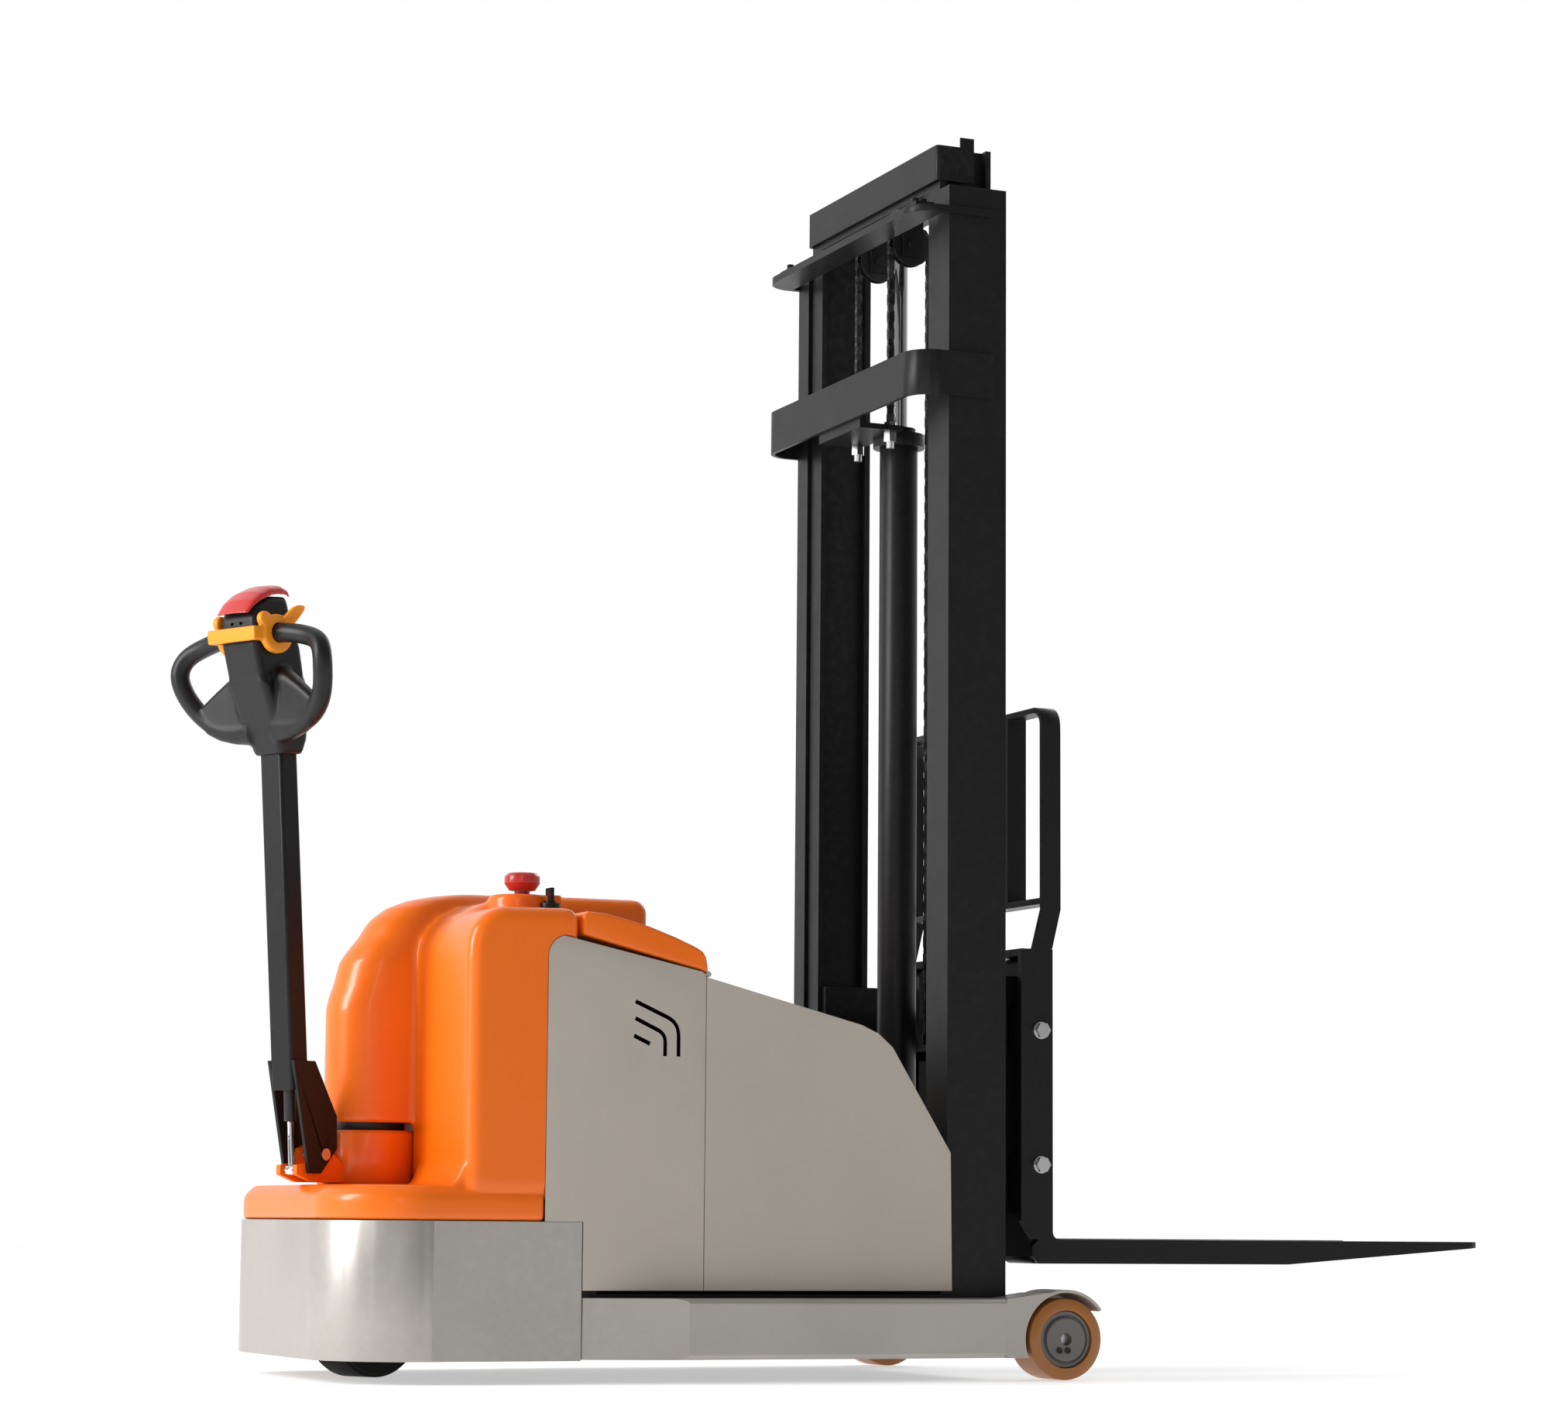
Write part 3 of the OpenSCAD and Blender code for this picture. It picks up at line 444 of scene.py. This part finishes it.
def cut(obj, *tools):
    """Takes the tools' solids out of the object."""
    for tool in tools:
        boolean = obj.modifiers.new("cut", "BOOLEAN")
        boolean.operation = "DIFFERENCE"
        boolean.solver = "EXACT"
        boolean.object = tool
        apply_modifiers(obj)
        bpy.data.objects.remove(tool)


def solid_cylinder(name, centre, radius, z0, z1):
    """An upright cylinder, millimetres from the mast."""
    outline = circle(*centre, radius, 64)
    return stack(name, [(z0, outline), (z1, outline)], "orange_body")


def smooth_by_angle(obj, angle):
    """Keeps creases sharp and the rest smooth."""
    bm = bmesh.new()
    bm.from_mesh(obj.data)
    limit = math.radians(angle)
    for edge in bm.edges:
        edge.smooth = len(edge.link_faces) != 2 or edge.calc_face_angle(0) < limit
    for face in bm.faces:
        face.smooth = True
    bm.to_mesh(obj.data)
    bm.free()


# Driving measures of the body, in millimetres from the mast's rear face
STEER_X = -933
BODY_HALF = 350
HOOD_FRONT = -683
SKIRT_TOP = 262
STOP_PLACE = (-735, -200)
DRUM_ROOM_R, MOTOR_ROOM_R, MOTOR_TOP_ROOM_R, STOP_ROOM_R = 89.5, 67, 50, 14
SLOT_HALF = 3.6


# ---- Moulded covers -----------------------------------------------------------------------


# Rear silhouette of the hood's column: height, rearmost place, half width
COLUMN = [(424, -1009, 78), (618, -1009, 78), (640, -1004, 78), (656, -998, 77), (698, -987, 75), (720, -972, 73),
          (739, -956, 70), (756, -946, 67), (772, -934, 63), (792, -908, 57), (806, -872, 50), (814, -835, 42),
          (819, -795, 32)]


def make_hood():
    """Hood and ledge in one moulding: a round column flows over two shoulders, with a storage cup behind."""
    pieces = []
    levels = []
    for z, rear, half in COLUMN:
        levels.append((z, [(-700, -half)] + arc(rear + half, 0, half, 270, 90, 24) + [(-700, half)]))
    pieces.append(stack("column", levels, "orange_body"))
    # crest from the column to the front, and the inner lobes beside the column
    crest = [(HOOD_FRONT, 500), (-840, 500), (-866, 700), (-862, 740), (-840, 772), (-800, 792), (-750, 800),
             (HOOD_FRONT, 804)]
    pieces.append(prism("crest", crest, -215, 215, "orange_body", 30, 5))
    # shoulders, round at their upper rear corners
    side = [(HOOD_FRONT, 300), (-874, 300), (-876, 690)] + arc(-806, 708, 69, 175, 98, 10) + [(HOOD_FRONT, 778)]
    pieces.append(prism("shoulders", side, -BODY_HALF, BODY_HALF, "orange_body", 22, 6))
    # ledge over the skirt, chamfered round its top
    profile = [(0, SKIRT_TOP), (0, 298), (4, 306), (18, 319.5), (24, 320)]
    ledge = [(z, plan_outline(-740, BODY_HALF - i, -1086 + i, 156 - i, 20)) for i, z in profile]
    pieces.append(stack("ledge", ledge, "orange_body"))
    # fillet between ledge and shoulders
    for y in (-1, 1):
        fillet = [(-900, 312), (-893, 322), (-884, 334), (-878, 352), (-870, 352), (-870, 300), (-900, 300)]
        pieces.append(prism("fillet", fillet, *sorted((y * 95, y * (BODY_HALF - 14))), "orange_body"))
    for x, y, r in ((-742, -203, 52), (-690, -212, 40)):
        pad = [(z, circle(x, y, r - i, 32)) for z, i in ((770, 0), (800, 0), (806, 4))]
        pieces.append(stack("pad", pad, "orange_body"))
    hood = mould(merge("hood_shell", pieces), 4.5, 6)
    # storage cup in the column's side
    tools = []
    tip, top = at(-1003, -3, 646), at(-895, -50, 796)
    along = (top - tip).normalized()
    outward = Vector((-0.70, -0.45, 0.55))
    across = along.cross(outward).normalized()
    outward = across.cross(along).normalized()
    cup = bmesh.new()
    bmesh.ops.create_icosphere(cup, subdivisions=4, radius=1.0)
    cutter = new_object("cup", cup, "orange_body")
    scale = Matrix.Diagonal((0.017, 0.026, (top - tip).length / 2, 1))
    turn = Matrix((across, outward, along)).transposed().to_4x4()
    tools.append(place_mesh(cutter, Matrix.Translation((tip + top) / 2) @ turn @ scale))
    bottom = [(-1120, 200), (-600, 200), (-600, 262.2), (-1120, 262.2)]
    tools.append(prism("bottom_cut", bottom, -400, 400, "orange_body"))
    front = [(HOOD_FRONT + 0.2, 200), (-600, 200), (-600, 900), (HOOD_FRONT + 0.2, 900)]
    tools.append(prism("front_cut", front, -400, 400, "orange_body"))
    tools.append(solid_cylinder("drum_room", (STEER_X, 0), DRUM_ROOM_R, 200, 425.5))
    tools.append(solid_cylinder("motor_room", (STEER_X, 0), MOTOR_ROOM_R, 400, 612))
    tools.append(solid_cylinder("motor_top_room", (STEER_X, 0), MOTOR_TOP_ROOM_R, 600, 655))
    tools.append(solid_cylinder("stop_room", STOP_PLACE, STOP_ROOM_R, 760, 830))
    door = [(-741, 250), (-741, 697)] + arc(-705, 697, 36, 180, 100, 8) + [(-640, 724), (-640, 250)]
    for y in (-BODY_HALF - 10, BODY_HALF - 6):
        tools.append(prism("door_room", door, y, y + 16, "orange_body"))
    cut(hood, *tools)
    smooth_by_angle(hood, 38)
    finish_piece(hood, "chassis", "orange_body", "hood", "base_cover")


def make_housing():
    """Tall cover on the left of the hood."""
    outline = [(HOOD_FRONT + 1, 690), (HOOD_FRONT + 1, 832), (-395, 832), (-395, 690)]
    cover = prism("housing_cover", outline, 70, 330, "orange_body", 24, 5)
    smooth_by_angle(cover, 50)
    finish_piece(cover, "chassis", "orange_body", "side_housing")


def make_lid():
    """Lid over the battery, crowned on top and round at its front end."""
    top = [(-670, 773), (-636, 770), (-600, 762), (-560, 752), (-514, 736), (-475, 720)]
    outline = [(-679, 734), (-679, 766)] + top + [(-463, 713), (-457, 704), (-454, 688), (-453, 676), (-462, 680)]
    lid = prism("lid_shell", outline, -BODY_HALF + 3, 64, "orange_body", 7, 4)
    smooth_by_angle(lid, 32)
    finish_piece(lid, "battery_lid", "orange_body", "battery_lid")
    bead = tube("lid_hinge", [at(-450, -BODY_HALF + 12, 676), at(-450, 56, 676)], 5.0, "zinc_steel", 16, False)
    finish_piece(bead, "chassis", "zinc_steel", "lid_hinge_pin")


def vent_path(points, radius):
    """A slot's centre line with its bend rounded."""
    (x0, z0), (x1, z1), (x2, z2) = points
    first = Vector((x0 - x1, z0 - z1)).normalized() * radius
    last = Vector((x2 - x1, z2 - z1)).normalized() * radius
    path = [(x0, z0)]
    for k in range(7):
        t = k / 6
        a, b = Vector((x1, z1)) + first, Vector((x1, z1)) + last
        point = (1 - t) ** 2 * a + 2 * t * (1 - t) * Vector((x1, z1)) + t ** 2 * b
        path.append(tuple(point))
    return path + [(x2, z2)]


def slot_cutter(path, y):
    """A strip of even width, square at its ends, along a path on the door."""
    left, right = [], []
    for i, (x, z) in enumerate(path):
        ahead = Vector(path[min(i + 1, len(path) - 1)]) - Vector(path[max(i - 1, 0)])
        side = Vector((-ahead.y, ahead.x)).normalized() * SLOT_HALF
        left.append((x + side.x, z + side.y))
        right.append((x - side.x, z - side.y))
    return prism("slot", left + right[::-1], y - 12, y + 12, "black_plastic")


def make_door(side, name, node):
    """Battery door: a pressed sheet with three bent vents."""
    outline = [(-740, SKIRT_TOP), (-740, 697)] + arc(-705, 697, 35, 180, 104, 10)[1:]
    outline += [(-466, 679), (-460, 675), (-459, 668), (-459, 150), (-673, 150), (-673, SKIRT_TOP)]
    y0, y1 = sorted((side * (BODY_HALF - 2), side * (BODY_HALF + 0.6)))
    door = prism(name, outline, y0, y1, "taupe_panel", 1.2, 2)
    centre = side * BODY_HALF
    vents = [vent_path([(-586, 626), (-508, 592), (-508, 536)], 22),
             vent_path([(-586, 598), (-532, 573), (-532, 536)], 14),
             [(-588, 569), (-559, 556)]]
    cut(door, *[slot_cutter(path, centre) for path in vents])
    smooth_by_angle(door, 30)
    finish_piece(door, "chassis", "taupe_panel", node)


# ---- Tiller head --------------------------------------------------------------------------

TILLER_TURN = math.radians(27)
TILLER_LEAN = math.radians(-4.6)
PIVOT_BACK, PIVOT_Z, ARM_BACK = 131, 370, 44
TILLER = (Matrix.Translation(at(STEER_X, 0, 0)) @ Matrix.Rotation(TILLER_TURN, 4, "Z")
          @ Matrix.Translation((-PIVOT_BACK * MM, 0, PIVOT_Z * MM)) @ Matrix.Rotation(TILLER_LEAN, 4, "Y")
          @ Matrix.Translation((-ARM_BACK * MM, 0, 0)))
WING_X, WING_S = -46, 868
BUTTON_S, WELL_R, LOOP_R = 850, 10.6, 16.5
# Centre line of a handle loop, millimetres from the arm's axis and the pivot
LOOP = [(-30, 28, 716), (-33, 66, 710), (-33, 98, 716), (-36, 128, 731), (-43, 150, 752), (-51, 164, 775),
        (-58, 172, 800), (-59, 173, 822), (-52, 162, 843), (-44, 138, 855), (-43, 104, 863), (-46, 76, 868),
        (-46, 30, 868)]


def on_arm(x, y, z):
    """A place in the tiller's frame: millimetres in front of the arm's axis, to the side, above the pivot."""
    return TILLER @ (Vector((x, y, z)) * MM)


def round_section(x, y, depth, width, radius, steps=6):
    """A rectangle with round corners in the tiller's plan."""
    points = []
    for sx, sy, start in ((1, 1, 0), (-1, 1, 90), (-1, -1, 180), (1, -1, 270)):
        points += arc(x + sx * (depth - radius), y + sy * (width - radius), radius, start, start + 90, steps)
    return points


def head_stack(name, levels, material):
    """Skins round-cornered slices: levels of (z, x, half depth, half width, corner)."""
    bm = bmesh.new()
    rings(bm, [[on_arm(px, py, z) for px, py in round_section(x, 0, d, w, r)] for z, x, d, w, r in levels])
    return new_object(name, bm, material)


def arm_solid(name, outline, y0, y1, material, bevel=0.0, segments=3):
    """Extrudes an outline of (x, z) in the tiller's frame between two places across it."""
    bm = bmesh.new()
    rings(bm, [[on_arm(x, y, z) for x, z in outline] for y in (y0, y1)])
    return round_edges(new_object(name, bm, material), bevel, segments, 40)


def arm_cylinder(name, centre, radius, y0, y1, material, steps=48):
    """A cylinder across the tiller between two places."""
    outline = circle(*centre, radius, steps)
    return arm_solid(name, outline, y0, y1, material)


def make_head():
    """Moulded head: neck, body with a bowl that runs out into the two handle loops."""
    pieces = [head_stack("body", [(669, 0, 24, 33, 8), (675, 0, 28, 37, 12), (695, 0, 35, 40, 14),
                                  (740, -10, 43, 47, 14), (786, -21, 51, 48, 12), (798, -22, 51, 42, 10),
                                  (848, -31, 53, 42, 10), (893, -41, 43, 42, 10), (912, -39, 39, 41, 10),
                                  (924, -29, 28, 39, 10), (932, -22, 20, 34, 10)], "black_plastic")]
    for side in (-1, 1):
        loop = [on_arm(x, side * y, z) for x, y, z in LOOP]
        pieces.append(tube("loop", loop, LOOP_R, "black_plastic", 24))
        # web of the bowl between the body and the loop's lower arm
        bm = bmesh.new()
        web = []
        for y, x, low, high, depth in ((25, -20, 684, 822, 26), (45, -24, 688, 816, 22), (70, -30, 691, 802, 17),
                                       (98, -35, 698, 784, 14), (122, -38, 709, 768, 13), (134, -40, 720, 758, 12)):
            outline = round_section(0, 0, depth, (high - low) / 2, min(depth, (high - low) / 2) * 0.9, 5)
            web.append([on_arm(x + u, side * y, (low + high) / 2 + v) for u, v in outline])
        rings(bm, web)
        pieces.append(new_object("web", bm, "black_plastic"))
    head = mould(merge("head_shell", pieces), 2.8, 5)
    tools = []
    for y in (-16, 16):
        well = bmesh.new()
        outline = circle(y, BUTTON_S, WELL_R, 32)
        rings(well, [[on_arm(x, v, z) for v, z in outline] for x in (9, 30)])
        tools.append(new_object("well", well, "black_plastic"))
    # two small slots in the rear face, over the band
    for y in (-13, 8):
        tools.append(arm_solid("slit", [(-95, 884), (-80, 884), (-80, 889), (-95, 889)], y, y + 8, "black_plastic"))
    cut(head, *tools)
    smooth_by_angle(head, 45)
    finish_piece(head, "tiller", "black_plastic", "tiller_head", "handle_loops")
    for side in (-1, 1):
        screw = arm_cylinder("screw", (-22, 752), 3.2, side * 44, side * 49, "zinc_steel", 16)
        finish_piece(screw, "tiller", "zinc_steel")


def make_wings():
    """Butterfly throttle: a heart-shaped wing round each loop's root, joined by a band behind the head."""
    pieces = []
    disc = circle(WING_X, WING_S - 1, 33, 48)
    rear_lobe = circle(WING_X - 27, WING_S + 23, 13, 32)
    for side in (-1, 1):
        pieces.append(arm_solid("disc", disc, *sorted((side * 44.5, side * 60)), "yellow_control", 4, 3))
        pieces.append(arm_solid("lobe", rear_lobe, *sorted((side * 46, side * 60)), "yellow_control", 4, 3))
        ear = bmesh.new()
        rows = []
        for t, half, thick in ((0.0, 16, 7), (0.35, 17, 7), (0.7, 16, 6.5), (0.92, 12, 6), (1.0, 6, 4)):
            outline = round_section(0, 0, half, thick, min(half, thick) * 0.9, 5)
            middle = (WING_X + 18 + 18 * t, 53 + 22 * t, WING_S + 12 + 34 * t)
            rows.append([on_arm(middle[0] + u, side * (middle[1] + v), middle[2]) for u, v in outline])
        rings(ear, rows)
        pieces.append(new_object("ear", ear, "yellow_control"))
        cheek = [(-98, 855), (-64, 855), (-64, 879), (-98, 879)]
        pieces.append(arm_solid("cheek", cheek, *sorted((side * 44.5, side * 57)), "yellow_control", 2, 3))
    band = [(-100, 855), (-90, 855), (-90, 879), (-100, 879)]
    pieces.append(arm_solid("band", band, -57, 57, "yellow_control", 2, 3))
    wings = mould(merge("wing_shell", pieces), 2.0, 4)
    cut(wings, arm_cylinder("bore", (WING_X, WING_S), 17.2, -90, 90, "yellow_control", 48),
        arm_solid("inside", [(-88.5, 800), (30, 800), (30, 950), (-88.5, 950)], -43.5, 43.5, "yellow_control"))
    smooth_by_angle(wings, 45)
    finish_piece(wings, "throttle", "yellow_control", "throttle_wings")


def make_belly_pad():
    """Arched red pad draped over the head's top."""
    rows = []
    for x, edge, crown, thick, half in ((-97, 903, 905, 3, 34), (-92, 905, 911, 6, 38), (-80, 918, 927, 8, 39),
                                        (-62, 930, 941, 9, 40), (-38, 939, 951, 9, 40), (-14, 940, 954, 8, 39),
                                        (0, 936, 950, 7, 37), (7, 932, 943, 4, 32)):
        top, under = [], []
        for k in range(17):
            a = math.pi * k / 16
            rise = math.sin(a) ** 0.8
            top.append((half * math.cos(a), edge + (crown - edge) * rise))
            under.append((half * 0.97 * math.cos(a), edge - thick * 0.7 + (crown - edge - thick * 0.4) * rise))
        rows.append([on_arm(x, y, z) for y, z in top + under[::-1]])
    bm = bmesh.new()
    rings(bm, rows)
    pad = mould(new_object("belly_shell", bm, "red_button"), 1.6, 5)
    smooth_by_angle(pad, 50)
    finish_piece(pad, "belly_pad", "red_button", "belly_button")


# ---- Chains -------------------------------------------------------------------------------

CHAIN_PITCH = 15.875
LEAF_STEP, LEAF_HALF = 4.0, 0.85
PLATE_END_U, PLATE_END_V = 5.4, 5.6
PIN_R, PIN_HALF = 2.4, 6.8
PULLEY_X, PULLEY_Z, CHAIN_R, CHAIN_Y = 46, 2040, 38.5, 70
ANCHOR_Z, REAR_STRETCH_TOP, CARRIAGE_Z = 1706, 2030, 600


def chain_link(bm, place, along, across, wide):
    """One link of a leaf chain: plates side by side, with a pin through each end."""
    out = along.cross(across)
    leaves = 3 if wide else 2
    for k in range(leaves):
        y = (k - (leaves - 1) / 2) * LEAF_STEP
        rows = []
        for half_y in (-LEAF_HALF, LEAF_HALF):
            shape = []
            for end in (-1, 1):
                for a in range(-80, 81, 20):
                    turn = math.radians(a)
                    u = end * (CHAIN_PITCH / 2 + PLATE_END_U * math.cos(turn))
                    v = end * PLATE_END_V * math.sin(turn)
                    shape.append((u, v))
            rows.append([place + (along * u + out * v + across * (y + half_y)) * MM for u, v in shape])
        rings(bm, rows)
    rows = []
    for half_y in (-PIN_HALF, PIN_HALF):
        rows.append([place + (along * (CHAIN_PITCH / 2 + PIN_R * math.cos(a)) + out * PIN_R * math.sin(a)
                              + across * half_y) * MM for a in (2 * math.pi * k / 10 for k in range(10))])
    rings(bm, rows)


def chain_strand(name, places):
    """Links between neighbouring places, joined as one object."""
    bm = bmesh.new()
    across = Vector((0, 1, 0))
    for i, (low, high) in enumerate(zip(places, places[1:])):
        chain_link(bm, (low + high) / 2, (high - low).normalized(), across, i % 2 == 0)
    return new_object(name, bm, "chain_steel", smooth=False)


def make_chains():
    """Two leaf chains from the anchors on the mast, over the pulleys and down to the carriage."""
    for side in (-1, 1):
        y = side * CHAIN_Y
        rear_x, front_x = PULLEY_X - CHAIN_R, PULLEY_X + CHAIN_R
        count = round((PULLEY_Z - ANCHOR_Z) / CHAIN_PITCH)
        rear = chain_strand("rear_chain", [at(rear_x, y, ANCHOR_Z + (PULLEY_Z - ANCHOR_Z) * k / count)
                                           for k in range(count + 1)])
        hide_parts("rear_chains")
        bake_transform(rear)
        steps = 8
        over = chain_strand("pulley_chain", [at(PULLEY_X - CHAIN_R * math.cos(math.pi * k / steps), y,
                                                PULLEY_Z + CHAIN_R * math.sin(math.pi * k / steps))
                                             for k in range(steps + 1)])
        finish_piece(over, "inner_mast", "chain_steel", "front_chains")
        count = round((PULLEY_Z - CARRIAGE_Z) / CHAIN_PITCH)
        front = chain_strand("front_chain", [at(front_x, y, CARRIAGE_Z + (PULLEY_Z - CARRIAGE_Z) * k / count)
                                             for k in range(count + 1)])
        finish_piece(front, "inner_mast", "chain_steel", "front_chains")
        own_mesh(front)


# ---- Wheels -------------------------------------------------------------------------------

LOAD_X, LOAD_Y, LOAD_Z = 194, 356, 69
# Outline of a cap screw: radius, place outwards from the wheel's middle
SCREW = [(1.6, 41.0), (1.6, 44.5), (3.6, 45.5), (4.8, 45.5), (5.2, 44.9), (5.2, 41.0)]


def make_load_wheels():
    """Load wheels: round-shouldered polyurethane tyre, hub ring and cap with two socket screws."""
    for side, body, name in ((1, "left_load_wheel", "left"), (-1, "right_load_wheel", "right")):
        centre = at(LOAD_X, side * LOAD_Y, LOAD_Z)
        tyre = [(49, -41.5), (60, -42), (62, -41), (66, -39.5)] + arc(62, -35, 7, -30, 0, 3)
        tyre += [(69, -30), (69, 30)] + arc(62, 35, 7, 0, 30, 3) + [(66, 39.5), (62, 41), (60, 42), (49, 41.5)]
        obj = lathe(name + "_tyre_skin", tyre, "load_tyre", centre, steps=80)
        smooth_by_angle(obj, 30)
        finish_piece(obj, body, "load_tyre", name + "_tyre")
        hub = [(10.4, -40), (46, -40), (48.6, -38), (48.6, 35), (47, 37), (42, 37), (41, 34), (39, 34), (38, 36),
               (37, 40.5), (34.5, 42), (10.4, 42)]
        hub = [(r, place * side) for r, place in hub]
        ring = lathe(name + "_hub_skin", hub, "hub_grey", centre, steps=72)
        smooth_by_angle(ring, 30)
        finish_piece(ring, body, "hub_grey", name + "_hub")
        for u, v in ((-14, 19), (2, 19)):
            screw = lathe("cap_screw", [(r, place * side) for r, place in SCREW], "machine_black",
                          centre + Vector((u, 0, -v)) * MM, steps=20)
            finish_piece(screw, body, "machine_black")


add_camera()
add_studio()
paint_frame()
make_hood()
make_housing()
make_lid()
make_door(1, "left_door_sheet", "left_door")
make_door(-1, "right_door_sheet", "right_door")
make_head()
make_wings()
make_belly_pad()
make_chains()
make_load_wheels()
